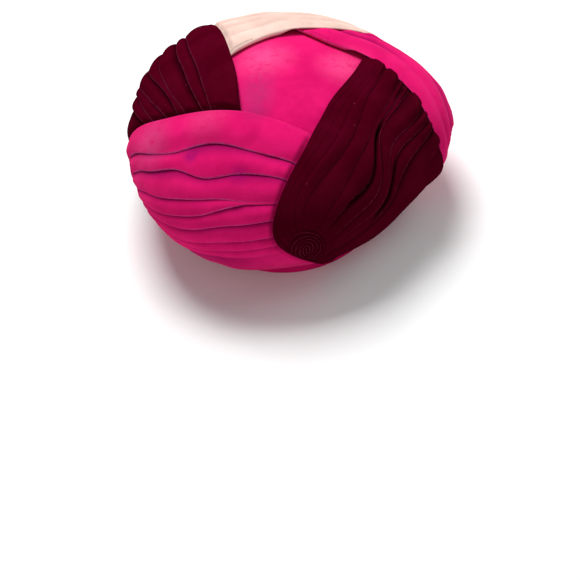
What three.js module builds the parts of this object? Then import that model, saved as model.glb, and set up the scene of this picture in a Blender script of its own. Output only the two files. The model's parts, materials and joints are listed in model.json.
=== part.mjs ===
// Tilt hat: a smooth velvet cap wrapped by five pleated velvet drapes, woven round the crown tip
// Millimetres, +Z up. The rim lies at z = 0, the crown tip points up, the back of the hat faces -Y.
import * as THREE from 'three';

// Driving sizes of the hat, measured on the outermost folds
const WIDEST_RADIUS = 128;
const WIDEST_HEIGHT = 60;
const DOME_RISE = 72.8;
const LOWEST_DOME_ANGLE = 129.5 * Math.PI / 180;
const RIM_FILLET_RADIUS = 11;
const TIP_PLAN_SQUEEZE = 0.015;
const RIM_PLAN_SQUEEZE = 0.055;

// How much fuller the hat is towards each bearing, in degrees from +X
const FULLNESS = [
  { bearing: 0, extra: 13 },
  { bearing: 45, extra: -2 },
  { bearing: 90, extra: 4 },
  { bearing: 135, extra: 7.5 },
  { bearing: 180, extra: -3 },
  { bearing: 225, extra: 1 },
  { bearing: 270, extra: -6.5 },
  { bearing: 315, extra: -4 },
];
const FULL_FROM = 20;
const FULL_BY = 115;
const SLIM_FROM = 195;

// Where the middle of the crown lies, so that the origin is under the middle of the whole hat
const MIDDLE = { east: -7.8, north: -4.2 };

// Heights above or below the outermost folds, along the outward direction
const CAP_HEIGHT = -6.9;
const CAP_WALL = 2.5;
const TIP_PUFF = 2.2;
const TIP_PUFF_RADIUS = 62;
const TIP_CENTRE = { east: 12, north: 2 };
const DRAPE_BASE = -5.6;
const DRAPE_VALLEY = -3.3;
const DRAPE_CREST = 0.3;
const TUCKED_CREST = -3.3;
const TUCKED_VALLEY = -4.1;
const LIFTED_BASE = -2.1;
const LIFTED_VALLEY = -0.3;
const LIFTED_CREST = 2.2;
const LAYER_RAMP = 9;
const LIFT_MARGIN = 14;
const TUCK_MARGIN = 8;

// How finely each surface is faceted
const PROFILE_STEPS = 720;
const FILLET_STEPS = 24;
const COLLAR_STEPS = 4;
const OUTLINE_STEPS = 40;
const CAP_SKIN = { domeRows: 11, hemRows: 3, columns: 44 };
const CAP_INSIDE = { domeRows: 7, hemRows: 2, columns: 22 };
const DRAPE_STATIONS = 22;
const STATION_CROWDING = 0.35;
const BASE_STRIPS = 14;
const SLOPE_STEP = 0.5;

// Drapes stop short of the rim: beyond the first reach they are drawn in towards the second
const GATHER_FROM = 195;
const GATHER_TO = 223.5;

// Places across one fold: evenly round at the whorl, then leaning towards the next fold
const FOLD_POINTS = [
  { round: 0, leaning: 0, roundHeight: 0, leaningHeight: 0 },
  { round: 0.35, leaning: 0.4, roundHeight: 1, leaningHeight: 0.8 },
  { round: 0.65, leaning: 0.9, roundHeight: 1, leaningHeight: 1 },
];
const EDGE_HEIGHT = 0.55;
const LEANING_BY = 0.3;

const FUCHSIA = { color: 0xd81b6a, roughness: 0.85, metalness: 0 };
const BURGUNDY = { color: 0x50001c, roughness: 0.9, metalness: 0 };
const BLUSH = { color: 0xf6ddd2, roughness: 0.85, metalness: 0 };

// Each drape starts in a whorl over the drape before it and ends tucked under the drape after it.
// A row of sections gives the tip edge, the spine and the rim edge, as [east, north] distances
// walked from the middle of the crown over the hat. The first row is the slit of the whorl.
// A row of folds gives each fold's share of the width at the whorl, half way and at the tucked end.
const DRAPES = [
  {
    name: 'front_pink_drape',
    cloth: FUCHSIA,
    sections: [
      { tip: [-204, -34], spine: [-166, -20], rim: [-204, -34] },
      { tip: [-160, 10], spine: [-147, -45], rim: [-212, -75] },
      { tip: [-91, -17], spine: [-105, -102], rim: [-165, -152] },
      { tip: [-27, -37], spine: [-50, -120], rim: [-80, -209] },
      { tip: [38, -74], spine: [8, -134], rim: [48, -200] },
    ],
    folds: [
      { whorl: 0.12, middle: 0.17, end: 0.18 },
      { whorl: 0.11, middle: 0.12, end: 0.14 },
      { whorl: 0.1, middle: 0.12, end: 0.11 },
      { whorl: 0.1, middle: 0.06, end: 0.04 },
      { whorl: 0.1, middle: 0.09, end: 0.07 },
      { whorl: 0.1, middle: 0.1, end: 0.08 },
      { whorl: 0.1, middle: 0.07, end: 0.07 },
      { whorl: 0.11, middle: 0.07, end: 0.07 },
      { whorl: 0.12, middle: 0.2, end: 0.24 },
    ],
  },
  {
    name: 'right_burgundy_drape',
    cloth: BURGUNDY,
    sections: [
      { tip: [22, -188], spine: [12, -163], rim: [22, -188] },
      { tip: [-19, -145], spine: [24, -130], rim: [60, -214] },
      { tip: [21, -76], spine: [64, -90], rim: [140, -175] },
      { tip: [51, -20], spine: [94, -46], rim: [200, -100] },
      { tip: [84, 44], spine: [120, 10], rim: [192, -36] },
    ],
    folds: [
      { whorl: 0.12, middle: 0.13, end: 0.14 },
      { whorl: 0.11, middle: 0.11, end: 0.12 },
      { whorl: 0.1, middle: 0.11, end: 0.1 },
      { whorl: 0.1, middle: 0.1, end: 0.1 },
      { whorl: 0.1, middle: 0.1, end: 0.1 },
      { whorl: 0.1, middle: 0.1, end: 0.1 },
      { whorl: 0.1, middle: 0.1, end: 0.1 },
      { whorl: 0.11, middle: 0.1, end: 0.1 },
      { whorl: 0.12, middle: 0.15, end: 0.14 },
    ],
  },
  {
    name: 'back_pink_drape',
    cloth: FUCHSIA,
    sections: [
      { tip: [214, -44], spine: [176, -28], rim: [214, -44] },
      { tip: [152, -56], spine: [158, -4], rim: [223, 12] },
      { tip: [99, -13], spine: [132, 46], rim: [205, 90] },
      { tip: [65, 24], spine: [98, 90], rim: [140, 175] },
      { tip: [12, 74], spine: [72, 90], rim: [124, 138] },
    ],
    folds: [
      { whorl: 0.14, middle: 0.14, end: 0.14 },
      { whorl: 0.14, middle: 0.14, end: 0.14 },
      { whorl: 0.14, middle: 0.14, end: 0.14 },
      { whorl: 0.16, middle: 0.16, end: 0.16 },
      { whorl: 0.14, middle: 0.14, end: 0.14 },
      { whorl: 0.14, middle: 0.14, end: 0.14 },
      { whorl: 0.14, middle: 0.14, end: 0.14 },
    ],
  },
  {
    name: 'blush_drape',
    cloth: BLUSH,
    sections: [
      { tip: [138, 161], spine: [118, 128], rim: [138, 161] },
      { tip: [136, 105], spine: [96, 123], rim: [128, 184] },
      { tip: [70, 68], spine: [50, 125], rim: [60, 215] },
      { tip: [2, 51], spine: [-8, 120], rim: [-30, 220] },
      { tip: [-47, 22], spine: [-66, 110], rim: [-112, 168] },
    ],
    folds: [
      { whorl: 0.12, middle: 0.12, end: 0.12 },
      { whorl: 0.11, middle: 0.11, end: 0.11 },
      { whorl: 0.1, middle: 0.1, end: 0.1 },
      { whorl: 0.1, middle: 0.1, end: 0.1 },
      { whorl: 0.1, middle: 0.1, end: 0.1 },
      { whorl: 0.1, middle: 0.1, end: 0.1 },
      { whorl: 0.1, middle: 0.1, end: 0.1 },
      { whorl: 0.11, middle: 0.11, end: 0.11 },
      { whorl: 0.12, middle: 0.12, end: 0.12 },
    ],
  },
  {
    name: 'left_burgundy_drape',
    cloth: BURGUNDY,
    sections: [
      { tip: [-118, 186], spine: [-102, 150], rim: [-118, 186] },
      { tip: [-76, 164], spine: [-101, 128], rim: [-150, 168] },
      { tip: [-42, 90], spine: [-104, 75], rim: [-195, 110] },
      { tip: [-30, 22], spine: [-92, 20], rim: [-218, 30] },
      { tip: [-28, -54], spine: [-90, -32], rim: [-186, -14] },
    ],
    folds: [
      { whorl: 0.12, middle: 0.16, end: 0.16 },
      { whorl: 0.11, middle: 0.08, end: 0.08 },
      { whorl: 0.1, middle: 0.1, end: 0.12 },
      { whorl: 0.1, middle: 0.1, end: 0.1 },
      { whorl: 0.1, middle: 0.1, end: 0.1 },
      { whorl: 0.1, middle: 0.1, end: 0.1 },
      { whorl: 0.1, middle: 0.1, end: 0.1 },
      { whorl: 0.11, middle: 0.1, end: 0.1 },
      { whorl: 0.12, middle: 0.15, end: 0.14 },
    ],
  },
];

const mix = (from, to, share) => from + (to - from) * share;
const smooth = (low, high, value) => THREE.MathUtils.smoothstep(value, low, high);

// Side outline of the outermost folds, walked from the pole to the rim
function walkProfile() {
  const lastRadius = WIDEST_RADIUS * Math.sin(LOWEST_DOME_ANGLE);
  const lastHeight = WIDEST_HEIGHT + DOME_RISE * Math.cos(LOWEST_DOME_ANGLE);
  const slope = Math.atan2(-WIDEST_RADIUS * Math.cos(LOWEST_DOME_ANGLE), DOME_RISE * Math.sin(LOWEST_DOME_ANGLE));
  const points = [];
  for (let i = 0; i <= PROFILE_STEPS; i += 1) {
    const angle = LOWEST_DOME_ANGLE * i / PROFILE_STEPS;
    points.push([WIDEST_RADIUS * Math.sin(angle), WIDEST_HEIGHT + DOME_RISE * Math.cos(angle)]);
  }
  for (let i = 1; i <= FILLET_STEPS; i += 1) {
    const left = slope * (1 - i / FILLET_STEPS);
    points.push([
      lastRadius - RIM_FILLET_RADIUS * (Math.cos(left) - Math.cos(slope)),
      lastHeight - RIM_FILLET_RADIUS * (Math.sin(slope) - Math.sin(left)),
    ]);
  }
  const [collarRadius, collarHeight] = points[points.length - 1];
  for (let i = 1; i <= COLLAR_STEPS; i += 1) {
    points.push([collarRadius, collarHeight * (1 - i / COLLAR_STEPS)]);
  }
  let walked = 0;
  return points.map(([radius, height], i) => {
    if (i > 0) walked += Math.hypot(radius - points[i - 1][0], height - points[i - 1][1]);
    return { walked, radius, height };
  });
}

const PROFILE = walkProfile();
const RIM_REACH = PROFILE[PROFILE.length - 1].walked;
const DOME_REACH = PROFILE[PROFILE_STEPS].walked;
const WIDEST_REACH = PROFILE.find((point) => point.height <= WIDEST_HEIGHT).walked;

function profileAt(reach) {
  let low = 0;
  let high = PROFILE.length - 1;
  while (high - low > 1) {
    const half = (low + high) >> 1;
    if (PROFILE[half].walked <= reach) low = half;
    else high = half;
  }
  const share = (reach - PROFILE[low].walked) / (PROFILE[high].walked - PROFILE[low].walked);
  return {
    radius: mix(PROFILE[low].radius, PROFILE[high].radius, share),
    height: mix(PROFILE[low].height, PROFILE[high].height, share),
  };
}

function fullnessAt(bearing) {
  const count = FULLNESS.length;
  const position = (bearing / (2 * Math.PI) + 1) * count;
  const first = Math.floor(position);
  const [from, to] = [FULLNESS[first % count].extra, FULLNESS[(first + 1) % count].extra];
  return mix(from, to, smooth(0, 1, position - first));
}

// A place walked east and north from the pole, on the surface of the outermost folds
function onHat(east, north) {
  const reach = Math.min(Math.hypot(east, north), RIM_REACH);
  const bearing = Math.atan2(north, east);
  const full = smooth(FULL_FROM, FULL_BY, reach) * (1 - smooth(SLIM_FROM, RIM_REACH, reach));
  const { radius: roundRadius, height } = profileAt(reach);
  const radius = roundRadius + full * fullnessAt(bearing);
  const squeeze = mix(TIP_PLAN_SQUEEZE, RIM_PLAN_SQUEEZE, smooth(WIDEST_REACH, RIM_REACH, reach));
  return new THREE.Vector3(
    radius * Math.cos(bearing) * (1 - squeeze),
    radius * Math.sin(bearing) * (1 + squeeze),
    height,
  );
}

// The same place lifted outwards; the slope is taken just inside the rim
function liftedFromHat(east, north, lift) {
  const reach = Math.hypot(east, north);
  const inset = Math.min(1, (RIM_REACH - 1.2 * SLOPE_STEP) / Math.max(reach, SLOPE_STEP));
  const x = east * inset;
  const y = north * inset;
  const alongEast = onHat(x + SLOPE_STEP, y).sub(onHat(x - SLOPE_STEP, y));
  const alongNorth = onHat(x, y + SLOPE_STEP).sub(onHat(x, y - SLOPE_STEP));
  const outward = alongEast.cross(alongNorth).normalize();
  return onHat(east, north).addScaledVector(outward, lift);
}

// Closed meshes are gathered face by face
class Shell {
  constructor() {
    this.positions = [];
    this.faces = [];
  }

  point(vector) {
    this.positions.push(vector.x, vector.y, vector.z);
    return this.positions.length / 3 - 1;
  }

  face(a, b, c) {
    this.faces.push(a, b, c);
  }

  quad(a, b, c, d) {
    this.face(a, b, c);
    this.face(a, c, d);
  }

  mesh(name, cloth) {
    const geometry = new THREE.BufferGeometry();
    geometry.setAttribute('position', new THREE.Float32BufferAttribute(this.positions, 3));
    geometry.setIndex(this.faces);
    geometry.computeVertexNormals();
    const mesh = new THREE.Mesh(geometry, new THREE.MeshStandardMaterial(cloth));
    mesh.name = name;
    return mesh;
  }
}

// The smooth cap under the drapes, open at the rim, with a flat hem at z = 0
function crown() {
  const shell = new Shell();
  const tipPuff = (east, north) => {
    const away = Math.hypot(east - TIP_CENTRE.east, north - TIP_CENTRE.north) / TIP_PUFF_RADIUS;
    return TIP_PUFF * (1 - smooth(0, 1, away));
  };
  const dome = ({ domeRows, hemRows, columns }, sink) => {
    const rings = [];
    const rows = domeRows + hemRows;
    for (let i = 1; i <= rows; i += 1) {
      const pastDome = Math.max(0, i - domeRows) / hemRows;
      const reach = mix(DOME_REACH * Math.min(1, i / domeRows), RIM_REACH, pastDome);
      const ring = [];
      for (let j = 0; j < columns; j += 1) {
        const bearing = 2 * Math.PI * j / columns;
        const east = reach * Math.cos(bearing);
        const north = reach * Math.sin(bearing);
        const place = liftedFromHat(east, north, CAP_HEIGHT - sink + tipPuff(east, north));
        if (i === rows) place.z = 0;
        ring.push(shell.point(place));
      }
      rings.push(ring);
    }
    const pole = shell.point(liftedFromHat(0, 0, CAP_HEIGHT - sink + tipPuff(0, 0)));
    return { pole, rings };
  };
  const skin = (surface, outward) => {
    const { pole, rings } = surface;
    const columns = rings[0].length;
    for (let j = 0; j < columns; j += 1) {
      const k = (j + 1) % columns;
      if (outward) shell.face(pole, rings[0][j], rings[0][k]);
      else shell.face(pole, rings[0][k], rings[0][j]);
      for (let i = 0; i + 1 < rings.length; i += 1) {
        const [near, far] = [rings[i], rings[i + 1]];
        if (outward) shell.quad(near[j], far[j], far[k], near[k]);
        else shell.quad(near[j], near[k], far[k], far[j]);
      }
    }
  };
  const outside = dome(CAP_SKIN, 0);
  const inside = dome(CAP_INSIDE, CAP_WALL);
  skin(outside, true);
  skin(inside, false);
  const outerHem = outside.rings[outside.rings.length - 1];
  const innerHem = inside.rings[inside.rings.length - 1];
  const perInner = outerHem.length / innerHem.length;
  for (let j = 0; j < innerHem.length; j += 1) {
    const nextInner = innerHem[(j + 1) % innerHem.length];
    for (let k = 0; k < perInner; k += 1) {
      const first = outerHem[j * perInner + k];
      const second = outerHem[(j * perInner + k + 1) % outerHem.length];
      shell.face(innerHem[j], second, first);
    }
    shell.face(innerHem[j], nextInner, outerHem[((j + 1) * perInner) % outerHem.length]);
  }
  return shell.mesh('crown', FUCHSIA);
}

// A smooth line through the sections; before the slit it runs on into the other side of the whorl
function throughSections(rows, along) {
  const spans = rows.length - 2;
  const position = 1 + along * spans;
  const first = Math.min(Math.floor(position), rows.length - 2);
  const t = position - first;
  const row = (i) => rows[Math.min(Math.max(i, 0), rows.length - 1)];
  const last = first + 2 > rows.length - 1;
  const [p0, p1, p2] = [row(first - 1), row(first), row(first + 1)];
  const p3 = last ? p2.map((value, i) => 2 * value - p1[i]) : row(first + 2);
  return p1.map((value, i) => 0.5 * (
    2 * value
    + (p2[i] - p0[i]) * t
    + (2 * p0[i] - 5 * value + 4 * p2[i] - p3[i]) * t * t
    + (3 * value - p0[i] - 3 * p2[i] + p3[i]) * t * t * t
  ));
}

function gathered([east, north]) {
  const reach = Math.hypot(east, north);
  if (reach <= GATHER_FROM) return [east, north];
  const room = GATHER_TO - GATHER_FROM;
  const drawn = GATHER_FROM + room * Math.tanh((reach - GATHER_FROM) / room);
  return [east * drawn / reach, north * drawn / reach];
}

// A place on a drape: along runs from the whorl to the tucked end, across from tip edge to rim edge
function onDrape(drape, along, across) {
  const side = drape.sections[1];
  const mirrored = { tip: side.rim, spine: side.spine, rim: side.tip };
  const rows = [mirrored, ...drape.sections];
  const line = (edge) => throughSections(rows.map((row) => row[edge]), along);
  const [tip, spine, rim] = [line('tip'), line('spine'), line('rim')];
  const tipPull = 2 * (across - 0.5) * (across - 1);
  const spinePull = 4 * across * (1 - across);
  const rimPull = 2 * across * (across - 0.5);
  return gathered(tip.map((value, i) => value * tipPull + spine[i] * spinePull + rim[i] * rimPull));
}

// Where each fold of a drape begins; at the slit the two sides of the whorl mirror each other
function foldEdges(drape, along) {
  const count = drape.folds.length;
  const shares = drape.folds.map((fold, k) => {
    const whorl = 0.5 * (fold.whorl + drape.folds[count - 1 - k].whorl);
    const early = smooth(0, 0.5, along);
    const late = smooth(0.5, 1, along);
    return mix(mix(whorl, fold.middle, early), fold.end, late);
  });
  const total = shares.reduce((sum, share) => sum + share, 0);
  const edges = [0];
  shares.forEach((share) => edges.push(edges[edges.length - 1] + share / total));
  edges[count] = 1;
  return edges;
}

function outline(drape) {
  const loop = [];
  for (let i = OUTLINE_STEPS; i > 0; i -= 1) loop.push(onDrape(drape, i / OUTLINE_STEPS, 0));
  for (let i = 0; i <= OUTLINE_STEPS; i += 1) loop.push(onDrape(drape, i / OUTLINE_STEPS, 1));
  for (let i = 1; i < OUTLINE_STEPS / 2; i += 1) loop.push(onDrape(drape, 1, 1 - 2 * i / OUTLINE_STEPS));
  return loop;
}

// Distance inside a closed line; negative outside
function depthInside(loop, [east, north]) {
  let nearest = Infinity;
  let inside = false;
  for (let i = 0, j = loop.length - 1; i < loop.length; j = i, i += 1) {
    const [ax, ay] = loop[j];
    const [bx, by] = loop[i];
    const [dx, dy] = [bx - ax, by - ay];
    const share = ((east - ax) * dx + (north - ay) * dy) / Math.max(dx * dx + dy * dy, 1e-9);
    const t = Math.min(Math.max(share, 0), 1);
    nearest = Math.min(nearest, Math.hypot(east - ax - t * dx, north - ay - t * dy));
    const crosses = (ay > north) !== (by > north);
    if (crosses && east < ax + (north - ay) / (by - ay) * dx) inside = !inside;
  }
  return inside ? nearest : -nearest;
}

// Joins two rows of points, each with its place across the drape, by a strip of triangles
function stitch(shell, upper, lower) {
  let [i, j] = [0, 0];
  while (i + 1 < upper.length || j + 1 < lower.length) {
    const upperNext = i + 1 < upper.length ? upper[i + 1].across : Infinity;
    const lowerNext = j + 1 < lower.length ? lower[j + 1].across : Infinity;
    if (upperNext <= lowerNext) {
      shell.face(lower[j].index, upper[i].index, upper[i + 1].index);
      i += 1;
    } else {
      shell.face(lower[j].index, upper[i].index, lower[j + 1].index);
      j += 1;
    }
  }
}

// One pleated drape: folded skin above, plain skin below, walls along both edges and the tucked end
function drapeMesh(drape, before, after) {
  const beneath = outline(before);
  const above = outline(after);
  const layers = (place) => {
    const lifted = smooth(-LAYER_RAMP, 0, depthInside(beneath, place) + LIFT_MARGIN);
    const tucked = smooth(-LAYER_RAMP, 0, depthInside(above, place) + TUCK_MARGIN);
    return {
      base: mix(DRAPE_BASE, LIFTED_BASE, lifted),
      valley: mix(mix(DRAPE_VALLEY, LIFTED_VALLEY, lifted), TUCKED_VALLEY, tucked),
      crest: mix(mix(DRAPE_CREST, LIFTED_CREST, lifted), TUCKED_CREST, tucked),
    };
  };
  const shell = new Shell();
  const topPoint = (along, across, rise) => {
    const place = onDrape(drape, along, across);
    const { valley, crest } = layers(place);
    return { across, index: shell.point(liftedFromHat(...place, mix(valley, crest, rise))) };
  };
  const basePoint = (along, across) => {
    const place = onDrape(drape, along, across);
    return { across, index: shell.point(liftedFromHat(...place, layers(place).base)) };
  };
  const topRows = [];
  const baseRows = [];
  for (let i = 0; i <= DRAPE_STATIONS; i += 1) {
    const even = i / DRAPE_STATIONS;
    const along = mix(even, smooth(0, 1, even), STATION_CROWDING);
    const leaning = smooth(0, LEANING_BY, along);
    const edges = foldEdges(drape, along);
    const topRow = [];
    for (let k = 0; k < drape.folds.length; k += 1) {
      FOLD_POINTS.forEach((point, j) => {
        const share = mix(point.round, point.leaning, leaning);
        const rise = mix(point.roundHeight, point.leaningHeight, leaning);
        const onEdge = k === 0 && j === 0;
        topRow.push(topPoint(along, mix(edges[k], edges[k + 1], share), onEdge ? EDGE_HEIGHT : rise));
      });
    }
    topRow.push(topPoint(along, 1, EDGE_HEIGHT));
    topRows.push(topRow);
    const strips = Array.from({ length: BASE_STRIPS + 1 }, (_, j) => j / BASE_STRIPS);
    baseRows.push(strips.map((across) => basePoint(along, across)));
  }
  const sheet = (rows, upwards) => {
    for (let i = 0; i + 1 < rows.length; i += 1) {
      const [near, far] = [rows[i], rows[i + 1]];
      for (let j = 0; j + 1 < near.length; j += 1) {
        const corners = [near[j], near[j + 1], far[j + 1], far[j]].map((corner) => corner.index);
        if (!upwards) corners.reverse();
        shell.quad(...corners);
      }
    }
  };
  sheet(topRows, true);
  sheet(baseRows, false);
  const first = (row) => row[0];
  const last = (row) => row[row.length - 1];
  sheet(topRows.map((row, i) => [first(baseRows[i]), first(row)]), true);
  sheet(topRows.map((row, i) => [last(row), last(baseRows[i])]), true);
  stitch(shell, last(topRows), last(baseRows));
  return shell.mesh(drape.name, drape.cloth);
}

const hat = new THREE.Group();
hat.position.set(MIDDLE.east, MIDDLE.north, 0);
hat.add(crown());
DRAPES.forEach((drape, i) => {
  const before = DRAPES[(i + DRAPES.length - 1) % DRAPES.length];
  const after = DRAPES[(i + 1) % DRAPES.length];
  hat.add(drapeMesh(drape, before, after));
});

export default hat;
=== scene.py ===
"""Looks of the tilt hat: five pleated velvet drapes woven round the tip of a smooth velvet crown."""
import json
import math
import bmesh
import bpy
import numpy as np
from mathutils import Matrix, Vector

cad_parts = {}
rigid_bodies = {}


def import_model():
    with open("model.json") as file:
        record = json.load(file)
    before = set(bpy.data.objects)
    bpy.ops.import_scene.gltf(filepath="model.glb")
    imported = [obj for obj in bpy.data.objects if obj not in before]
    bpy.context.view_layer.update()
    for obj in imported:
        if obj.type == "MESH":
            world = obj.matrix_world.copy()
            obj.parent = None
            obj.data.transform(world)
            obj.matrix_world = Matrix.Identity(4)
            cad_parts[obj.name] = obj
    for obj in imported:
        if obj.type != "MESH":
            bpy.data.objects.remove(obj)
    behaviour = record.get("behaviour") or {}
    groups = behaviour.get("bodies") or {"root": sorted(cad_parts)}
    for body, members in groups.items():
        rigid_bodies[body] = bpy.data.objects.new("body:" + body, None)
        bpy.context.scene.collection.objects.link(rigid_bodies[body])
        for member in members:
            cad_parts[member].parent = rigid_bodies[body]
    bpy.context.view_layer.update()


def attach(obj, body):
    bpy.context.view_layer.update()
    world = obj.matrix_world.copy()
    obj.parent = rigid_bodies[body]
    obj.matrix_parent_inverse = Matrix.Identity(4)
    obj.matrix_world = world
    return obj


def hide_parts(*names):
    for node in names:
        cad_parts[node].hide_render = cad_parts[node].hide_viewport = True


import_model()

MM = 0.001

# The hat's form, in millimetres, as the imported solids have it
WIDEST_RADIUS = 128.0
WIDEST_HEIGHT = 60.0
DOME_RISE = 72.8
LOWEST_DOME_ANGLE = math.radians(129.5)
RIM_FILLET_RADIUS = 11.0
TIP_PLAN_SQUEEZE = 0.015
RIM_PLAN_SQUEEZE = 0.055
FULLNESS = (13.0, -2.0, 4.0, 7.5, -3.0, 1.0, -6.5, -4.0)   # every 45 degrees of bearing, from +X
FULL_FROM, FULL_BY, SLIM_FROM = 20.0, 115.0, 195.0
MIDDLE = np.array([-7.8, -4.2, 0.0])
GATHER_FROM, GATHER_TO = 195.0, 223.5

# How finely the form is worked out
PROFILE_STEPS, FILLET_STEPS, COLLAR_STEPS = 720, 24, 4
OUTLINE_STEPS = 40
SLOPE_STEP = 0.5

# Heights above or below the outermost folds
CAP_HEIGHT = -6.9
CAP_WALL = 2.5
TIP_PUFF = 2.2
TIP_PUFF_RADIUS = 62.0
TIP_CENTRE = (12.0, 2.0)
DRAPE_BASE, LIFTED_BASE = -5.6, -2.1
TUCKED_CREST = -2.9
LEAST_THICKNESS = 0.5
LIFT_RAMP, LIFT_MARGIN = 12.0, 5.0
TUCK_RAMP = 5.0
TUCKED_FLATNESS = 0.75

# The puff of each drape just before it is tucked, lower towards the rim and along the fold lines
END_PUFF_REACH = 22.0
END_PUFF_FROM, END_PUFF_BY = 0.5, 0.7
TIP_EDGE_SHARE = 0.2
RIM_SIDE_FROM, RIM_SIDE_BY, RIM_SIDE_LOSS = 0.55, 0.9, 0.6
END_DIMPLE = 2.2

# The spiral in the middle of each whorl
RING_PITCH = 3.4
RING_DEPTH = 1.0
RING_REACH, RING_FADE = 23.0, 6.0
RING_SWAY, RING_SWAY_TURN = 0.25, 0.3
# Paleness of the pile on each ring of the whorl, and painted shade in the troughs between the rings
RING_PALE, RING_PAINTED_SHADE = 0.8, 0.55

# Places along a drape where its folds are given, from the whorl to the tucked end
STATIONS = (0.0, 0.2, 0.35, 0.5, 0.65, 0.8, 1.0)


def smooth(low, high, value):
    """An even step from 0 at low to 1 at high."""
    t = np.clip((np.asarray(value, float) - low) / (high - low), 0.0, 1.0)
    return t * t * (3 - 2 * t)


def mix(a, b, share):
    return a + (b - a) * share


def walk_profile():
    """Side outline of the outermost folds: distance walked from the pole, radius and height."""
    angle = np.linspace(0.0, LOWEST_DOME_ANGLE, PROFILE_STEPS + 1)
    radius = WIDEST_RADIUS * np.sin(angle)
    height = WIDEST_HEIGHT + DOME_RISE * np.cos(angle)
    slope = math.atan2(-WIDEST_RADIUS * math.cos(LOWEST_DOME_ANGLE),
                       DOME_RISE * math.sin(LOWEST_DOME_ANGLE))
    left = slope * (1 - np.arange(1, FILLET_STEPS + 1) / FILLET_STEPS)
    fillet_radius = radius[-1] - RIM_FILLET_RADIUS * (np.cos(left) - math.cos(slope))
    fillet_height = height[-1] - RIM_FILLET_RADIUS * (math.sin(slope) - np.sin(left))
    down = 1 - np.arange(1, COLLAR_STEPS + 1) / COLLAR_STEPS
    all_radius = np.concatenate([radius, fillet_radius, np.full(COLLAR_STEPS, fillet_radius[-1])])
    all_height = np.concatenate([height, fillet_height, fillet_height[-1] * down])
    steps = np.hypot(np.diff(all_radius), np.diff(all_height))
    walked = np.concatenate([[0.0], np.cumsum(steps)])
    return walked, all_radius, all_height


WALKED, PROFILE_RADIUS, PROFILE_HEIGHT = walk_profile()
RIM_REACH = WALKED[-1]
DOME_REACH = WALKED[PROFILE_STEPS]
WIDEST_REACH = WALKED[np.argmax(PROFILE_HEIGHT <= WIDEST_HEIGHT)]


def fullness_at(bearing):
    """How much fuller the hat is towards a bearing."""
    values = np.array(FULLNESS)
    place = (bearing / (2 * math.pi) + 1) * len(values)
    first = np.floor(place).astype(int)
    return mix(values[first % len(values)], values[(first + 1) % len(values)], smooth(0, 1, place - first))


def on_hat(east, north):
    """A place walked east and north from the pole, on the surface of the outermost folds."""
    reach = np.minimum(np.hypot(east, north), RIM_REACH)
    bearing = np.arctan2(north, east)
    full = smooth(FULL_FROM, FULL_BY, reach) * (1 - smooth(SLIM_FROM, RIM_REACH, reach))
    radius = np.interp(reach, WALKED, PROFILE_RADIUS) + full * fullness_at(bearing)
    squeeze = mix(TIP_PLAN_SQUEEZE, RIM_PLAN_SQUEEZE, smooth(WIDEST_REACH, RIM_REACH, reach))
    return np.stack([radius * np.cos(bearing) * (1 - squeeze),
                     radius * np.sin(bearing) * (1 + squeeze),
                     np.interp(reach, WALKED, PROFILE_HEIGHT)], -1)


def outward(east, north):
    """The outward direction; past the rim it is taken just inside it."""
    reach = np.hypot(east, north)
    inset = np.minimum(1.0, (RIM_REACH - 1.2 * SLOPE_STEP) / np.maximum(reach, SLOPE_STEP))
    x, y = east * inset, north * inset
    along_east = on_hat(x + SLOPE_STEP, y) - on_hat(x - SLOPE_STEP, y)
    along_north = on_hat(x, y + SLOPE_STEP) - on_hat(x, y - SLOPE_STEP)
    normal = np.cross(along_east, along_north)
    return normal / np.linalg.norm(normal, axis=-1, keepdims=True)


def lifted(east, north, height):
    """The same place, lifted outwards by the height, in the part's frame."""
    return on_hat(east, north) + outward(east, north) * np.asarray(height)[..., None] + MIDDLE


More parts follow.
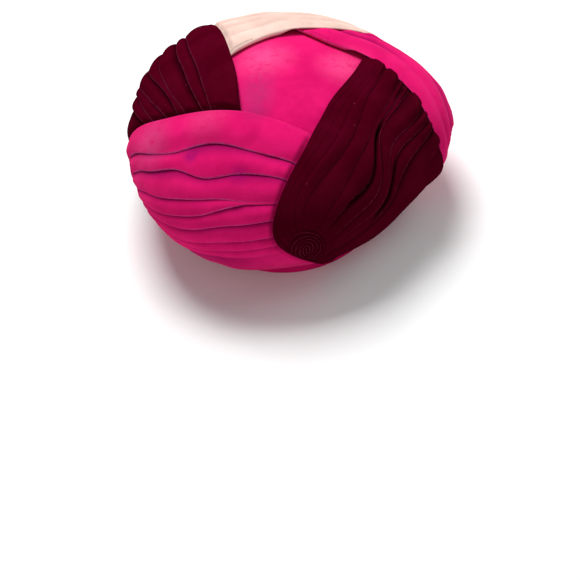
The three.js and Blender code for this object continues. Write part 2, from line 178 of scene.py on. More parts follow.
# Each drape has the depth of a pleat, the radius of its rolled edge, the puff before its tucked end and
# the height of its folds on the cap and on the drape beneath it, in millimetres. Then come its outline
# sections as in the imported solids, from the slit of the whorl to the tucked end, and its folds. A fold
# gives its place across the drape at each station, and how deep it is there. A gap is a narrow opening
# beside a fold: the fold's number, how far beside its line and how wide on each side in millimetres,
# and where along the drape it starts and stops.
DRAPES = {
    "front_pink_drape": {
        "step": 3.8, "roll": 1.1, "end_puff": 1.0, "crest": -1.2, "lifted_crest": 0.4,
        "tip": ((-204, -34), (-160, 10), (-91, -17), (-27, -37), (38, -74)),
        "spine": ((-166, -20), (-147, -45), (-105, -102), (-50, -120), (8, -134)),
        "rim": ((-204, -34), (-212, -75), (-165, -152), (-80, -209), (48, -200)),
        "folds": (
            ((.12, .19, .205, .17, .152, .197, .185), (1, 1, 1, 1, 1, 1, 1)),
            ((.23, .40, .33, .248, .312, .31, .295), (1, 1, 1, 1, 1, 1, .9)),
            ((.34, .56, .475, .39, .405, .44, .42), (1, 1, 1, 1, 1, 1.1, 1)),
            ((.45, .66, .57, .477, .47, .452, .43), (1, 1, 1, 1, 1, .9, .3)),
            ((.55, .72, .62, .545, .537, .54, .51), (1, 1, 1, 1, 1, .9, .8)),
            ((.66, .78, .675, .625, .613, .62, .615), (1, 1, 1, 1, .9, .8, .7)),
            ((.77, .84, .73, .665, .664, .673, .668), (1, 1, 1, .8, .7, .6, .4)),
            ((.88, .91, .80, .71, .703, .725, .72), (1, 1, 1, .8, .7, .5, .2)),
        ),
    },
    "right_burgundy_drape": {
        "step": 4.4, "roll": 1.0, "end_puff": 6.5, "crest": -1.3, "lifted_crest": 0.6,
        "tip": ((22, -188), (-19, -145), (21, -76), (51, -20), (84, 44)),
        "spine": ((12, -163), (24, -130), (64, -90), (94, -46), (120, 10)),
        "rim": ((22, -188), (60, -214), (140, -175), (200, -100), (192, -36)),
        "folds": (
            ((.05, .035, .04, .04, .045, .05, .09), (1, .2, 0, 0, 0, 0, 0)),
            ((.12, .10, .10, .11, .11, .11, .15), (1, 0, 0, 0, 0, 0, 0)),
            ((.19, .17, .18, .20, .20, .18, .19), (1, 0, 0, 0, 0, 0, 0)),
            ((.27, .25, .28, .29, .27, .22, .215), (1, .1, 0, 0, 0, 0, 0)),
            ((.35, .36, .39, .387, .36, .27, .24), (1, .1, .25, .3, .3, .3, .4)),
            ((.43, .57, .543, .48, .458, .395, .30), (1, .1, .3, .4, .4, .45, .7)),
            ((.50, .63, .612, .585, .478, .425, .36), (1, .2, .8, 1.6, 1.3, .9, 1)),
            ((.57, .70, .68, .64, .497, .45, .42), (1, .8, 1, 1.4, .5, .6, 1)),
            ((.65, .745, .727, .69, .565, .555, .50), (1, .9, 1, 1, 1.5, .8, 1)),
            ((.73, .775, .752, .708, .605, .60, .56), (1, .9, .9, .9, 1, .6, .9)),
            ((.81, .80, .772, .73, .664, .643, .61), (1, .9, .8, .8, .8, .7, .9)),
            ((.88, .86, .83, .79, .74, .71, .68), (1, .5, .15, .1, .1, .4, .9)),
            ((.95, .94, .91, .90, .88, .86, .80), (1, .8, .4, .2, .1, .1, .4)),
        ),
        "gaps": ((7, 1.2, 1.4, 0.33, 0.74), (10, 1.2, 1.4, 0.40, 0.66)),
    },
    "back_pink_drape": {
        "step": 3.4, "roll": 0.9, "end_puff": 0.6, "crest": -1.6, "lifted_crest": -0.8,
        "tip": ((214, -44), (152, -56), (99, -13), (65, 24), (12, 74)),
        "spine": ((176, -28), (158, -4), (132, 46), (98, 90), (72, 90)),
        "rim": ((214, -44), (223, 12), (205, 90), (140, 175), (124, 138)),
        "folds": (
            ((.14, .14, .15, .17, .20, .20, .18), (1, .6, .3, .3, .8, 1, .8)),
            ((.28, .29, .31, .33, .33, .31, .28), (1, .9, .9, 1, 1, .9, .7)),
            ((.42, .42, .44, .46, .46, .44, .42), (1, .8, .6, .5, .5, .6, .7)),
            ((.58, .56, .57, .58, .58, .57, .55), (1, .9, .7, .6, .6, .8, 1)),
            ((.72, .70, .70, .70, .70, .70, .70), (1, .9, .9, .9, .9, 1, 1)),
            ((.86, .85, .84, .84, .85, .85, .85), (1, 1, 1, 1, 1, 1, 1)),
        ),
    },
    "blush_drape": {
        "step": 2.6, "roll": 0.7, "end_puff": 0.4, "crest": -1.4, "lifted_crest": -0.2,
        "tip": ((138, 161), (136, 105), (70, 68), (2, 51), (-47, 22)),
        "spine": ((118, 128), (96, 123), (50, 125), (-8, 120), (-66, 110)),
        "rim": ((138, 161), (128, 184), (60, 215), (-30, 220), (-112, 168)),
        "folds": (
            ((.12, .13, .14, .15, .15, .14, .13), (1, 1, .9, .7, .6, .6, .6)),
            ((.23, .25, .26, .27, .27, .25, .24), (1, 1, 1, .9, .8, .8, .7)),
            ((.34, .35, .36, .37, .37, .36, .34), (1, 1, 1, 1, 1, 1, 1)),
            ((.45, .45, .46, .47, .47, .46, .45), (1, 1, 1, 1, 1, 1, 1)),
            ((.55, .55, .56, .57, .57, .56, .55), (1, 1, 1, 1, 1, 1, 1)),
            ((.66, .66, .67, .67, .67, .66, .65), (1, 1, 1, 1, 1, 1, 1)),
            ((.77, .77, .77, .77, .77, .76, .75), (1, 1, 1, 1, 1, 1, 1)),
            ((.88, .88, .88, .88, .88, .87, .86), (1, 1, 1, 1, 1, 1, 1)),
        ),
    },
    "left_burgundy_drape": {
        "step": 6.0, "roll": 2.0, "end_puff": 1.0, "crest": 0.4, "lifted_crest": 0.6,
        "tip": ((-118, 186), (-76, 164), (-42, 90), (-30, 22), (-28, -54)),
        "spine": ((-102, 150), (-101, 128), (-104, 75), (-92, 20), (-90, -32)),
        "rim": ((-118, 186), (-150, 168), (-195, 110), (-218, 30), (-186, -14)),
        "folds": (
            ((.14, .17, .19, .213, .265, .29, .19), (1, 1, 1, 1, 1, 1.1, 1)),
            ((.25, .25, .26, .287, .345, .367, .24), (1, 1, 1, 1, 1, 1, 1)),
            ((.36, .37, .38, .405, .467, .475, .35), (1, 1, 1, 1.2, 1.1, 1, 1)),
            ((.45, .47, .48, .51, .515, .497, .41), (1, 1, 1, 1.1, 1, .9, .9)),
            ((.55, .57, .58, .61, .595, .57, .47), (1, 1, 1, 1.2, 1.1, 1, 1)),
            ((.64, .66, .66, .66, .635, .62, .56), (1, 1, 1, 1.1, 1, 1, 1)),
            ((.75, .75, .74, .73, .69, .66, .61), (1, 1, 1, 1.1, 1, 1, 1)),
            ((.86, .85, .84, .83, .80, .77, .74), (1, 1, 1, 1, 1, 1, 1)),
        ),
    },
}
ORDER = list(DRAPES)


def through(points, along):
    """A smooth line through section points; before the slit it runs on into the whorl's other side."""
    points = np.asarray(points, float)
    spans = len(points) - 2
    place = 1 + np.asarray(along, float) * spans
    first = np.minimum(np.floor(place).astype(int), len(points) - 2)
    t = (place - first)[..., None]
    run_on = np.concatenate([points, [2 * points[-1] - points[-2]]])
    p0, p1, p2, p3 = (run_on[first + k] for k in (-1, 0, 1, 2))
    return 0.5 * (2 * p1 + (p2 - p0) * t + (2 * p0 - 5 * p1 + 4 * p2 - p3) * t * t
                  + (3 * p1 - p0 - 3 * p2 + p3) * t ** 3)


def gathered(place):
    """Drawn in towards the middle where it would come too near the rim."""
    reach = np.linalg.norm(place, axis=-1, keepdims=True)
    room = GATHER_TO - GATHER_FROM
    drawn = GATHER_FROM + room * np.tanh((reach - GATHER_FROM) / room)
    return place * np.where(reach > GATHER_FROM, drawn, reach) / np.maximum(reach, 1e-9)


def on_drape(drape, along, across):
    """A place along a drape from the whorl to its end, and across it from tip edge to rim edge."""
    tip, spine, rim = (drape[key] for key in ("tip", "spine", "rim"))
    tip_line = through((rim[1],) + tip, along)
    spine_line = through((spine[1],) + spine, along)
    rim_line = through((tip[1],) + rim, along)
    v = np.asarray(across, float)[..., None]
    return gathered(tip_line * 2 * (v - 0.5) * (v - 1) + spine_line * 4 * v * (1 - v)
                    + rim_line * 2 * v * (v - 0.5))


def outline(drape):
    """The closed line round a drape."""
    steps = np.linspace(0.0, 1.0, OUTLINE_STEPS + 1)
    end_steps = OUTLINE_STEPS // 2
    back = on_drape(drape, steps[:0:-1], np.zeros(OUTLINE_STEPS))
    out = on_drape(drape, steps, np.ones(OUTLINE_STEPS + 1))
    end = on_drape(drape, np.ones(end_steps - 1), 1 - np.arange(1, end_steps) / end_steps)
    return np.concatenate([back, out, end])


def depth_inside(loop, place):
    """Distance inside a closed line; negative outside."""
    flat = place.reshape(-1, 2)
    starts = np.roll(loop, 1, axis=0)
    nearest = np.full(len(flat), np.inf)
    inside = np.zeros(len(flat), bool)
    for a, b in zip(starts, loop):
        d = b - a
        t = np.clip(((flat - a) @ d) / max(d @ d, 1e-9), 0.0, 1.0)
        gap = flat - a - t[:, None] * d
        nearest = np.minimum(nearest, np.hypot(gap[:, 0], gap[:, 1]))
        crosses = (a[1] > flat[:, 1]) != (b[1] > flat[:, 1])
        rise = d[1] if abs(d[1]) > 1e-9 else 1e-9
        inside ^= crosses & (flat[:, 0] < a[0] + (flat[:, 1] - a[1]) / rise * d[0])
    return np.where(inside, nearest, -nearest).reshape(place.shape[:-1])


def station_line(values, along):
    """A smooth line through values given at the stations."""
    x = np.array(STATIONS)
    y = np.asarray(values, float)
    slope = np.gradient(y, x)
    k = np.clip(np.searchsorted(x, along, side="right") - 1, 0, len(x) - 2)
    width = x[k + 1] - x[k]
    t = (along - x[k]) / width
    return ((2 * t ** 3 - 3 * t ** 2 + 1) * y[k] + (t ** 3 - 2 * t ** 2 + t) * width * slope[k]
            + (3 * t ** 2 - 2 * t ** 3) * y[k + 1] + (t ** 3 - t ** 2) * width * slope[k + 1])


# Sizes of one pleat, in millimetres
FOLD_LAP = 3.0
FOLD_PUFF = 1.8
PUFFED_WIDTH = 15.0
EDGE_WIDTH = 3.0
GAP_DEPTH = 4.5
# Shape of one pleat: how hollow its face is, and the share of the drape by which it leans fully
FACE_CURVE = 1.6
LEAN_FROM, LEAN_BY = 0.02, 0.12
# Between which pleat depths a fold edge gets its pale wear and painted sheen, and a hollow its painted
# shade, in millimetres
WEAR_AND_PAINTED_SHEEN_FROM, WEAR_AND_PAINTED_SHEEN_BY = 0.2, 1.3
PAINTED_SHADE_FROM, PAINTED_SHADE_BY = 0.8, 4.0
# The share of the drape's width that two folds keep between them, and the least depth of a fold
LEAST_SPACING = 0.012
LEAST_DEPTH = 0.03
# Share of the length over which a gap opens and closes, and how strong the painted shade in it is
GAP_RAMP, GAP_PAINTED_SHADE = 0.08, 1.3
# How pale the rolled edges of the cloth are: pale pile and painted sheen
EDGE_WEAR_AND_PAINTED_SHEEN = 0.8
# Slow swells along each fold: height in millimetres and how many along the drape
SWELLS = ((0.45, 1.7), (0.35, 3.1), (0.22, 5.3), (0.12, 8.9))

# How finely the drapes are meshed
FACE_POINTS, ROLL_POINTS, UNDER_POINTS = 13, 6, 3
FOLD_POINTS = FACE_POINTS + ROLL_POINTS + UNDER_POINTS
EDGE_POINTS = 7
BASE_POINTS = 32
ROWS = 230
ROW_CROWDING = 0.3
WIDTH_STEPS = 40
FIRST_SEED = 11
CLOTH_SCALE = 10


def fold_positions(drape, along):
    """Fold lines across the drape and their depths, from the tip edge to the rim edge."""
    lines = np.stack([station_line(row[0], along) for row in drape["folds"]], -1)
    depths = np.stack([np.maximum(station_line(row[1], along), LEAST_DEPTH) for row in drape["folds"]], -1)
    ones = np.ones((len(along), 1))
    lines = np.concatenate([0 * ones, lines, ones], 1)
    depths = np.concatenate([0 * ones, depths, 0 * ones], 1)
    for k in range(1, lines.shape[1] - 1):
        lines[:, k] = np.maximum(lines[:, k], lines[:, k - 1] + LEAST_SPACING)
    for k in range(lines.shape[1] - 2, 0, -1):
        lines[:, k] = np.minimum(lines[:, k], lines[:, k + 1] - LEAST_SPACING)
    return lines, depths


def leaning_fold(low, high, lap, step, roll, puff, last):
    """One fold that leans over the next: face, rolled free edge, and the return beneath it."""
    count = FOLD_POINTS if last else FACE_POINTS
    t = np.linspace(0.0, 1.0, count)
    start = low - lap[0]
    face = start + (high - start) * t
    face_height = -step[0] * (1 - t) ** FACE_CURVE + puff * np.sin(math.pi * t)
    # Pale wear and painted sheen towards the free edge; painted shade low on the face and under the fold
    wear_and_painted_sheen_amount = smooth(WEAR_AND_PAINTED_SHEEN_FROM, WEAR_AND_PAINTED_SHEEN_BY, step[1])
    painted_shade_strength = [smooth(PAINTED_SHADE_FROM, PAINTED_SHADE_BY, part) for part in step]
    face_wear_and_painted_sheen = smooth(0.86, 1.0, t) * 0.5 * wear_and_painted_sheen_amount
    face_painted_shade = smooth(0.6, 0.1, t) * painted_shade_strength[0]
    if last:
        return face, face_height, face_wear_and_painted_sheen, face_painted_shade
    angle = math.pi * (0.5 - np.arange(1, ROLL_POINTS + 1) / ROLL_POINTS)
    turn = high + roll * np.cos(angle)
    turn_height = -roll * (1 - np.sin(angle))
    turn_wear_and_painted_sheen = (0.5 + 0.5 * np.cos(angle)) * wear_and_painted_sheen_amount
    turn_painted_shade = np.where(angle < -0.6, 0.6, 0.0) * painted_shade_strength[1]
    s = np.arange(1, UNDER_POINTS + 1) / (UNDER_POINTS + 1)
    under = high - lap[1] * s
    under_height = mix(-2 * roll, -step[1], s)
    return (np.concatenate([face, turn, under], 1),
            np.concatenate([face_height, turn_height, under_height], 1),
            np.concatenate([face_wear_and_painted_sheen, turn_wear_and_painted_sheen, 0 * under], 1),
            np.concatenate([face_painted_shade, turn_painted_shade, painted_shade_strength[1] + 0 * under], 1))


def one_fold(drape, along, width, lines, depths, k, rng):
    """Fold k of a drape: evenly round in the whorl, and leaning over the next one further on."""
    last = k == lines.shape[1] - 2
    low = np.maximum(lines[:, k] * width, EDGE_WIDTH)[:, None]
    high = np.minimum(lines[:, k + 1] * width, width - EDGE_WIDTH)[:, None]
    size = high - low
    before = ((lines[:, k] - lines[:, max(k - 1, 0)]) * width)[:, None]
    deep = (depths[:, k, None], depths[:, k + 1, None])
    lap = (np.minimum(FOLD_LAP * deep[0], 0.5 * before), np.minimum(FOLD_LAP * deep[1], 0.5 * size))
    step = (np.minimum(drape["step"] * deep[0], 0.7 * before + 1),
            np.minimum(drape["step"] * deep[1], 0.7 * size + 1))
    roll = np.minimum(np.minimum(drape["roll"] * deep[1], 0.2 * size), 0.4 * step[1])
    phase = rng.uniform(0, 2 * math.pi, len(SWELLS))
    swell = sum(a * np.sin(2 * math.pi * n * along + p) for (a, n), p in zip(SWELLS, phase))[:, None]
    full = np.minimum(1.0, size / PUFFED_WIDTH) * np.minimum(1.0, 1.5 * np.maximum(*deep))
    puff = (FOLD_PUFF + swell * smooth(0.0, LEAN_BY, along)[:, None]) * full
    leaning = leaning_fold(low, high, lap, step, roll, puff, last)
    even = (np.arange(FOLD_POINTS) + 0.5) / FOLD_POINTS
    arch = np.sin(math.pi * even)
    # In the whorl: pale wear and painted sheen on each crest, painted shade towards the valleys
    round_fold = (low + size * even, -mix(step[0], step[1], even) * (1 - arch ** 0.7),
                  arch ** 6 * 0.8 + 0 * size, 1 - arch + 0 * size)
    lean = smooth(LEAN_FROM, LEAN_BY, along)[:, None]
    return [mix(a, b, lean) for a, b in zip(round_fold, leaning)]


def section_samples(drape, along, width, seed):
    """Every sample of the drape's upper skin: place across, height under the crest, pale wear and painted
    sheen, painted shade, and belly.
    """
    lines, depths = fold_positions(drape, along)
    folds = lines.shape[1] - 1
    rng = np.random.default_rng(seed)
    parts = [one_fold(drape, along, width, lines, depths, k, rng) for k in range(folds)]
    across, height, ridge_wear_and_painted_sheen, painted_shade = [np.concatenate(part, 1) for part in zip(*parts)]
    for row, beside, half, start, stop in drape.get("gaps", ()):
        line = (lines[:, row] * width + beside)[:, None]
        opened = smooth(start, start + GAP_RAMP, along) * (1 - smooth(stop - GAP_RAMP, stop, along))
        deep = np.exp(-((across - line) / half) ** 2) * opened[:, None]
        height = height - GAP_DEPTH * deep
        # Painted shade down in the gap
        painted_shade = np.maximum(painted_shade, np.minimum(GAP_PAINTED_SHADE * deep, 1))
    belly = np.ones_like(across)
    for k in range(1, folds):
        off = (across - lines[:, k, None] * width[:, None]) / END_DIMPLE
        belly = np.minimum(belly, 1 - np.minimum(depths[:, k, None], 1) * np.exp(-off * off))
    return across / width[:, None], height, ridge_wear_and_painted_sheen, painted_shade, belly


def end_puff(along, across, to_cover, held):
    """How far the folds swell before they go under the next drape."""
    near = smooth(-END_PUFF_REACH, -TUCK_RAMP, to_cover) * (1 - held)
    late = smooth(END_PUFF_FROM, END_PUFF_BY, along)[:, None]
    rim_side = 1 - RIM_SIDE_LOSS * smooth(RIM_SIDE_FROM, RIM_SIDE_BY, across)
    return near * late * smooth(0.0, TIP_EDGE_SHARE, across) * rim_side


def spiral(from_middle):
    """The rings round the middle of a whorl, 1 on a ring and 0 between, and how strongly they show."""
    away = np.linalg.norm(from_middle, axis=-1)
    facing = np.arctan2(from_middle[..., 1], from_middle[..., 0])
    sway = RING_SWAY * np.sin(2 * facing + RING_SWAY_TURN * away)
    turns = away / RING_PITCH - facing / (2 * math.pi) + sway
    ring = 0.5 + 0.5 * np.cos(2 * math.pi * turns)
    return ring, 1 - smooth(RING_REACH - RING_FADE, RING_REACH, away)


def wrapped_faces(top):
    """Faces round every row of a drape; at the slit its two sides are sewn into one whorl."""
    loop = top + BASE_POINTS
    ids = np.arange((ROWS + 1) * loop).reshape(ROWS + 1, loop)
    half = np.arange(top)
    ids[0, half] = np.minimum(half, top - 1 - half)
    half = np.arange(BASE_POINTS)
    ids[0, top + half] = top + np.minimum(half, BASE_POINTS - 1 - half)
    a, b = ids[:-1], ids[1:]
    quads = np.stack([a, np.roll(a, -1, 1), np.roll(b, -1, 1), b], -1).reshape(-1, 4)
    faces = []
    for quad in quads.tolist():
        kept = [v for i, v in enumerate(quad) if v != quad[i - 1]]
        if len(set(kept)) >= 3:
            faces.append(kept)
    return faces, ids[-1]


def end_faces(last_row, across, top):
    """The wall that closes the tucked end, between the upper and the lower skin."""
    upper, lower = last_row[:top].tolist(), last_row[top:][::-1].tolist()
    upper_across, lower_across = across[:top], across[top:][::-1]
    faces = []
    i = j = 0
    while i + 1 < len(upper) or j + 1 < len(lower):
        next_upper = upper_across[i + 1] if i + 1 < len(upper) else math.inf
        next_lower = lower_across[j + 1] if j + 1 < len(lower) else math.inf
        if next_upper <= next_lower:
            faces.append([lower[j], upper[i], upper[i + 1]])
            i += 1
        else:
            faces.append([lower[j], upper[i], lower[j + 1]])
            j += 1
    return faces


def drape_mesh(name):
    """One pleated drape: folded skin, rounded edges, plain underside and a closed tucked end."""
    drape = DRAPES[name]
    place = ORDER.index(name)
    beneath = outline(DRAPES[ORDER[place - 1]])
    above = outline(DRAPES[ORDER[(place + 1) % len(ORDER)]])
    even = np.linspace(0.0, 1.0, ROWS + 1)
    along = mix(even, smooth(0, 1, even), ROW_CROWDING)
    fine = np.linspace(0.0, 1.0, WIDTH_STEPS + 1)
    ladder = on_drape(drape, along[:, None] + 0 * fine, fine + 0 * along[:, None])
    width = np.linalg.norm(np.diff(ladder, axis=1), axis=-1).sum(1)
    across, height, ridge_wear_and_painted_sheen, painted_shade, belly = section_samples(drape, along, width, FIRST_SEED + place)

    edge = (EDGE_WIDTH / width)[:, None]
    angles = np.linspace(-math.pi / 2, math.pi / 2, EDGE_POINTS)
    first = edge * (1 - np.cos(angles))
    base_across = np.linspace(1.0, 0.0, BASE_POINTS) * (1 - 2 * edge) + edge
    all_across = np.concatenate([first, across, 1 - first[:, ::-1], base_across], 1)
    here = on_drape(drape, along[:, None] + 0 * all_across, all_across)
    tip_edge = slice(0, EDGE_POINTS)
    skin = slice(EDGE_POINTS, EDGE_POINTS + across.shape[1])
    rim_edge = slice(skin.stop, skin.stop + EDGE_POINTS)
    underside = slice(rim_edge.stop, None)

    lift = smooth(-LIFT_RAMP, 0, depth_inside(beneath, here) + LIFT_MARGIN)
    to_cover = depth_inside(above, here)
    tuck = smooth(-TUCK_RAMP, 0, to_cover)
    crest = mix(mix(drape["crest"], drape["lifted_crest"], lift), TUCKED_CREST, tuck)
    base = mix(DRAPE_BASE, LIFTED_BASE, lift)
    held = tuck[:, skin]
    puff = drape["end_puff"] * end_puff(along, across, to_cover[:, skin], held)
    folded = crest[:, skin] + height * (1 - TUCKED_FLATNESS * held) + puff * belly
    ring, coiled = spiral(here[:, skin] - on_drape(drape, 0.0, 0.5))
    folded = mix(folded, crest[:, skin] + RING_DEPTH * (ring - 1), coiled)
    turn = (1 + np.sin(angles)) / 2
    level = np.empty_like(all_across)
    level[:, skin] = np.maximum(folded, base[:, skin] + LEAST_THICKNESS)
    level[:, tip_edge] = mix(base[:, tip_edge], crest[:, tip_edge], turn)
    level[:, rim_edge] = mix(base[:, rim_edge], crest[:, rim_edge], turn[::-1])
    level[:, underside] = base[:, underside]
    points = lifted(here[..., 0], here[..., 1], level) * MM

    # Pale wear and painted sheen on fold edges and rolled edges, pale pile on the whorl's rings; painted
    # shade in hollows, gaps and between the rings
    marks = {"ridge_wear_and_painted_sheen": np.zeros_like(all_across), "painted_shade": np.zeros_like(all_across)}
    marks["ridge_wear_and_painted_sheen"][:, skin] = mix(ridge_wear_and_painted_sheen, ring ** 3 * RING_PALE, coiled)
    marks["painted_shade"][:, skin] = mix(painted_shade, RING_PAINTED_SHADE * (1 - ring), coiled)
    marks["ridge_wear_and_painted_sheen"][:, tip_edge] = np.cos(angles) ** 2 * EDGE_WEAR_AND_PAINTED_SHEEN
    marks["ridge_wear_and_painted_sheen"][:, rim_edge] = np.cos(angles) ** 2 * EDGE_WEAR_AND_PAINTED_SHEEN
    length = np.linalg.norm(np.diff(on_drape(drape, along, 0.5 + 0 * along), axis=0), axis=-1)
    walked = np.concatenate([[0], np.cumsum(length)])
    cloth = np.stack([walked[:, None] + 0 * all_across, all_across * width.mean()], -1)

    faces, last_row = wrapped_faces(rim_edge.stop)
    faces += end_faces(last_row, all_across[-1], rim_edge.stop)
    obj = new_mesh(name + "_velvet", points.reshape(-1, 3), faces)
    for mark, values in marks.items():
        put_attribute(obj, mark, values.reshape(-1))
    put_cloth_uv(obj, cloth.reshape(-1, 2) * MM * CLOTH_SCALE)
    clean(obj)
    return obj


def new_mesh(name, points, faces):
    """A smooth object made of points in metres and faces."""
    mesh = bpy.data.meshes.new(name)
    mesh.from_pydata([tuple(p) for p in points.tolist()], [], faces)
    mesh.shade_smooth()
    obj = bpy.data.objects.new(name, mesh)
    bpy.context.scene.collection.objects.link(obj)
    return obj


def put_attribute(obj, name, values):
    """Stores one value for each point, for the velvet to read."""
    layer = obj.data.attributes.new(name, "FLOAT", "POINT")
    layer.data.foreach_set("value", np.asarray(values, np.float32))


def put_cloth_uv(obj, values):
    """Stores places on the flat cloth, along and across the drape."""
    mesh = obj.data
    corner = np.empty(len(mesh.loops), np.int32)
    mesh.loops.foreach_get("vertex_index", corner)
    layer = mesh.uv_layers.new(name="cloth")
    layer.data.foreach_set("uv", values[corner].astype(np.float32).reshape(-1))


def clean(obj):
    """Drops unused points and turns every face outwards."""
    shell = bmesh.new()
    shell.from_mesh(obj.data)
    bmesh.ops.delete(shell, geom=[v for v in shell.verts if not v.link_faces], context="VERTS")
    bmesh.ops.dissolve_degenerate(shell, dist=1e-7, edges=shell.edges)
    if shell.calc_volume(signed=True) < 0:
        bmesh.ops.reverse_faces(shell, faces=shell.faces)
    shell.to_mesh(obj.data)
    shell.free()
    obj.data.shade_smooth()


def crown_mesh():
    """The smooth cap, open at the rim, with a thin wall and a flat hem."""
    columns, dome_rows, hem_rows = 180, 90, 16

    def skin(sink):
        reach = np.concatenate([np.linspace(0, DOME_REACH, dome_rows + 1)[1:],
                                np.linspace(DOME_REACH, RIM_REACH, hem_rows + 1)[1:]])
        bearing = np.arange(columns) * 2 * math.pi / columns
        east = reach[:, None] * np.cos(bearing)
        north = reach[:, None] * np.sin(bearing)
        away = np.hypot(east - TIP_CENTRE[0], north - TIP_CENTRE[1]) / TIP_PUFF_RADIUS
        level = CAP_HEIGHT - sink + TIP_PUFF * (1 - smooth(0, 1, away))
        points = lifted(east, north, level)
        points[-1, :, 2] = 0
        pole = lifted(np.zeros(1), np.zeros(1), np.array([CAP_HEIGHT - sink + TIP_PUFF]))
        return np.concatenate([pole, points.reshape(-1, 3)])
    outer, inner = skin(0.0), skin(CAP_WALL)
    rows = dome_rows + hem_rows
    faces = []

    def cover(start, outwards):
        for j in range(columns):
            k = (j + 1) % columns
            tri = [start, start + 1 + j, start + 1 + k]
            faces.append(tri if outwards else tri[::-1])
            for i in range(rows - 1):
                near, far = start + 1 + i * columns, start + 1 + (i + 1) * columns
                quad = [near + j, far + j, far + k, near + k]
                faces.append(quad if outwards else quad[::-1])
    cover(0, True)
    cover(len(outer), False)
    last_outer = 1 + (rows - 1) * columns
    last_inner = len(outer) + last_outer
    for j in range(columns):
        k = (j + 1) % columns
        faces.append([last_inner + j, last_inner + k, last_outer + k, last_outer + j])
    obj = new_mesh("crown_velvet", np.concatenate([outer, inner]) * MM, faces)
    clean(obj)
    return obj


# Worn or brushed places on the fuchsia velvet, and one dark spot of painted shade in a pinched dimple:
# middle and reach in metres, colour, share
BRUSHED_AND_PAINTED_SHADE = (
    ((-0.020, -0.010, 0.124), 0.022, (0.32, 0.03, 0.14), 0.4),
    ((-0.022, -0.026, 0.124), 0.022, (0.32, 0.03, 0.14), 0.45),
    ((-0.026, -0.042, 0.121), 0.020, (0.32, 0.02, 0.14), 0.45),
    ((-0.013, 0.019, 0.125), 0.034, (0.86, 0.09, 0.27), 0.6),
    ((0.048, 0.004, 0.119), 0.030, (0.86, 0.09, 0.27), 0.5),
    ((0.007, -0.061, 0.118), 0.034, (0.52, 0.002, 0.10), 0.5),
    ((-0.109, -0.033, 0.099), 0.032, (0.60, 0.06, 0.20), 0.6),
    ((-0.061, -0.041, 0.120), 0.026, (0.66, 0.05, 0.18), 0.5),
    # Painted shade of a small pinched dimple in the first fold of the front drape
    ((-0.077, -0.064, 0.111), 0.010, (0.16, 0.002, 0.13), 0.7),
    ((-0.043, -0.091, 0.110), 0.012, (0.30, 0.004, 0.14), 0.5),
)


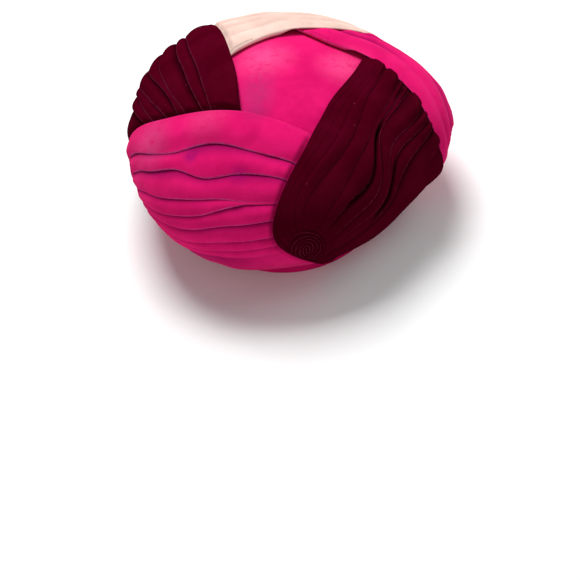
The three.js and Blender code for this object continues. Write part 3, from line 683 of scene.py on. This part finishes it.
def velvet(name, colour, deep, pale, sheen, sheen_tint, brushed_and_painted_shade=(), lint=0.0):
    """Short-pile velvet: painted shade in the hollows, and pale edges along the folds that are partly
    opened pile and partly painted sheen.
    """
    material = bpy.data.materials.new(name)
    material.use_nodes = True
    nodes, links = material.node_tree.nodes, material.node_tree.links
    shader = nodes["Principled BSDF"]
    shader.inputs["Roughness"].default_value = 0.85
    shader.inputs["Specular IOR Level"].default_value = 0.0
    shader.inputs["Sheen Weight"].default_value = sheen
    shader.inputs["Sheen Roughness"].default_value = 0.5
    shader.inputs["Sheen Tint"].default_value = (*sheen_tint, 1)
    place = nodes.new("ShaderNodeTexCoord")

    def noise(scale, detail, roughness=0.5):
        node = nodes.new("ShaderNodeTexNoise")
        node.inputs["Scale"].default_value = scale
        node.inputs["Detail"].default_value = detail
        node.inputs["Roughness"].default_value = roughness
        links.new(place.outputs["Object"], node.inputs["Vector"])
        return node.outputs["Fac"]

    def ramp(value, low, high):
        node = nodes.new("ShaderNodeMapRange")
        node.interpolation_type = "SMOOTHSTEP"
        node.inputs["From Min"].default_value = low
        node.inputs["From Max"].default_value = high
        links.new(value, node.inputs["Value"])
        return node.outputs["Result"]

    def mixed(first, second, factor):
        node = nodes.new("ShaderNodeMix")
        node.data_type = "RGBA"
        node.clamp_factor = True
        links.new(factor, node.inputs["Factor"])
        for socket, value in ((node.inputs[6], first), (node.inputs[7], second)):
            if isinstance(value, tuple):
                socket.default_value = (*value, 1)
            else:
                links.new(value, socket)
        return node.outputs[2]

    def product(value, by):
        node = nodes.new("ShaderNodeMath")
        node.operation = "MULTIPLY"
        links.new(value, node.inputs[0])
        if isinstance(by, float):
            node.inputs[1].default_value = by
        else:
            links.new(by, node.inputs[1])
        return node.outputs[0]

    def away_from(middle):
        node = nodes.new("ShaderNodeVectorMath")
        node.operation = "DISTANCE"
        node.inputs[1].default_value = middle
        links.new(place.outputs["Object"], node.inputs[0])
        return node.outputs["Value"]

    def mark(name_):
        node = nodes.new("ShaderNodeAttribute")
        node.attribute_name = name_
        return node.outputs["Fac"]
    darker = tuple(0.8 * c for c in colour)
    lighter = tuple(0.97 * c + 0.03 * p for c, p in zip(colour, pale))
    pile = mixed(darker, lighter, ramp(noise(34, 4, 0.6), 0.3, 0.7))
    for middle, reach, tone, share in brushed_and_painted_shade:
        patch = product(ramp(away_from(middle), reach, 0.0), ramp(noise(160, 4, 0.7), 0.2, 0.55))
        pile = mixed(pile, tone, product(patch, share))
    grain = tuple(0.6 * c for c in colour)
    pile = mixed(pile, grain, product(ramp(noise(1100, 3, 0.7), 0.5, 0.75), 0.35))
    # Painted shade: the deep colour laid into the hollows
    pile = mixed(pile, deep, product(mark("painted_shade"), 0.92))
    # Pale edges: opened and worn pile together with painted sheen, broken up by noise
    wear_and_painted_sheen_amount = ramp(noise(420, 3, 0.7), 0.3, 0.6)
    pile = mixed(pile, pale, product(product(ramp(mark("ridge_wear_and_painted_sheen"), 0.4, 1.0), wear_and_painted_sheen_amount), 0.75))
    if lint:
        cells = nodes.new("ShaderNodeTexVoronoi")
        cells.inputs["Scale"].default_value = 120
        links.new(place.outputs["Object"], cells.inputs["Vector"])
        speck = product(ramp(cells.outputs["Distance"], 0.09, 0.04), ramp(noise(60, 1), 0.55, 0.62))
        pile = mixed(pile, pale, product(speck, lint))
    links.new(pile, shader.inputs["Base Color"])
    bump = nodes.new("ShaderNodeBump")
    bump.inputs["Strength"].default_value = 0.3
    bump.inputs["Distance"].default_value = 0.0004
    links.new(noise(1400, 2, 0.6), bump.inputs["Height"])
    links.new(bump.outputs["Normal"], shader.inputs["Normal"])
    return material


# Each velvet gets its colour, the painted shade colour of its hollows, the pale colour of its worn pile,
# painted sheen and lint, then the shader's sheen and sheen tint
FUCHSIA = velvet("fuchsia_velvet", (0.72, 0.006, 0.135), (0.20, 0.001, 0.07), (0.55, 0.10, 0.38),
                 0.12, (1.0, 0.25, 0.5), brushed_and_painted_shade=BRUSHED_AND_PAINTED_SHADE)
BURGUNDY = velvet("burgundy_velvet", (0.068, 0.0001, 0.0075), (0.006, 0.0001, 0.001),
                  (0.22, 0.025, 0.06), 0.0, (0.9, 0.2, 0.35), lint=0.6)
BLUSH = velvet("blush_velvet", (0.76, 0.54, 0.465), (0.50, 0.28, 0.25), (0.88, 0.74, 0.69),
               0.08, (1.0, 0.9, 0.85))
CLOTH = {
    "front_pink_drape": (FUCHSIA, "fuchsia_velvet"),
    "right_burgundy_drape": (BURGUNDY, "burgundy_velvet"),
    "back_pink_drape": (FUCHSIA, "fuchsia_velvet"),
    "blush_drape": (BLUSH, "blush_velvet"),
    "left_burgundy_drape": (BURGUNDY, "burgundy_velvet"),
}

crown = crown_mesh()
crown.data.materials.append(FUCHSIA)
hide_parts("crown")
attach(crown, "root")
for drape_name, (material, slot) in CLOTH.items():
    piece = drape_mesh(drape_name)
    piece.data.materials.append(material)
    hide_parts(drape_name)
    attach(piece, "root")
for place, drape_name in enumerate(ORDER):
    piece = bpy.data.objects[drape_name + "_velvet"]


# Floor, soft light and the camera at the photograph's angle
FLOOR_REACH = 6
LIT_HEIGHT = 0.06


def add_floor():
    """A pale plain floor at the height of the rim."""
    far = FLOOR_REACH
    mesh = bpy.data.meshes.new("floor")
    mesh.from_pydata([(-far, -far, 0), (far, -far, 0), (far, far, 0), (-far, far, 0)], [], [(0, 1, 2, 3)])
    floor = bpy.data.objects.new("floor", mesh)
    bpy.context.scene.collection.objects.link(floor)
    material = bpy.data.materials.new("pale_floor")
    material.use_nodes = True
    shader = material.node_tree.nodes["Principled BSDF"]
    shader.inputs["Base Color"].default_value = (0.9, 0.9, 0.9, 1)
    shader.inputs["Roughness"].default_value = 0.9
    shader.inputs["Specular IOR Level"].default_value = 0.0
    mesh.materials.append(material)


def add_light(name, place, size, power):
    """A soft square lamp that faces the hat; size in metres, power in watts."""
    data = bpy.data.lights.new(name, "AREA")
    data.size = size
    data.energy = power
    lamp = bpy.data.objects.new(name, data)
    lamp.location = place
    lamp.rotation_euler = (Vector((0, 0, LIT_HEIGHT)) - Vector(place)).to_track_quat("-Z", "Y").to_euler()
    bpy.context.scene.collection.objects.link(lamp)


VIEW_ELEVATION = math.radians(43)
VIEW_ROLL = math.radians(7.4)
VIEW_DISTANCE = 1.25
MM_PER_PIXEL = 0.81
PICTURE = 580
LOOK = Vector((MIDDLE[0] * MM, MIDDLE[1] * MM, LIT_HEIGHT))
LOOK_PIXEL = (281.0, 138.0)
SENSOR = 36.0


def add_camera():
    """Looks so that the middle of the hat lies where the photograph has it, without a lens shift."""
    data = bpy.data.cameras.new("camera")
    focal_pixels = VIEW_DISTANCE / (MM_PER_PIXEL * MM)
    data.sensor_width = SENSOR
    data.lens = SENSOR * focal_pixels / PICTURE
    camera = bpy.data.objects.new("camera", data)
    back = Vector((0, -math.cos(VIEW_ELEVATION), math.sin(VIEW_ELEVATION)))
    level = Vector((1, 0, 0))
    up = back.cross(level)
    right = level * math.cos(VIEW_ROLL) - up * math.sin(VIEW_ROLL)
    top = level * math.sin(VIEW_ROLL) + up * math.cos(VIEW_ROLL)
    turn = Matrix((right, top, back)).transposed()
    middle = PICTURE / 2
    seen = Vector((LOOK_PIXEL[0] - middle, middle - LOOK_PIXEL[1], -focal_pixels)).normalized()
    aim = seen.rotation_difference(Vector((0, 0, -1))).to_matrix()
    camera.matrix_world = Matrix.Translation(LOOK + back * VIEW_DISTANCE) @ (turn @ aim).to_4x4()
    bpy.context.scene.collection.objects.link(camera)
    bpy.context.scene.camera = camera


add_floor()
add_light("key", (-0.2, 1.0, 1.9), 1.1, 54)
add_light("fill", (-1.0, -1.7, 1.3), 1.6, 9)
add_light("side", (1.5, 0.3, 1.3), 1.2, 9)
add_camera()
world = bpy.data.worlds.new("studio")
world.use_nodes = True
world.node_tree.nodes["Background"].inputs["Color"].default_value = (1, 1, 1, 1)
world.node_tree.nodes["Background"].inputs["Strength"].default_value = 0.22
bpy.context.scene.world = world
bpy.context.scene.view_settings.view_transform = "Standard"
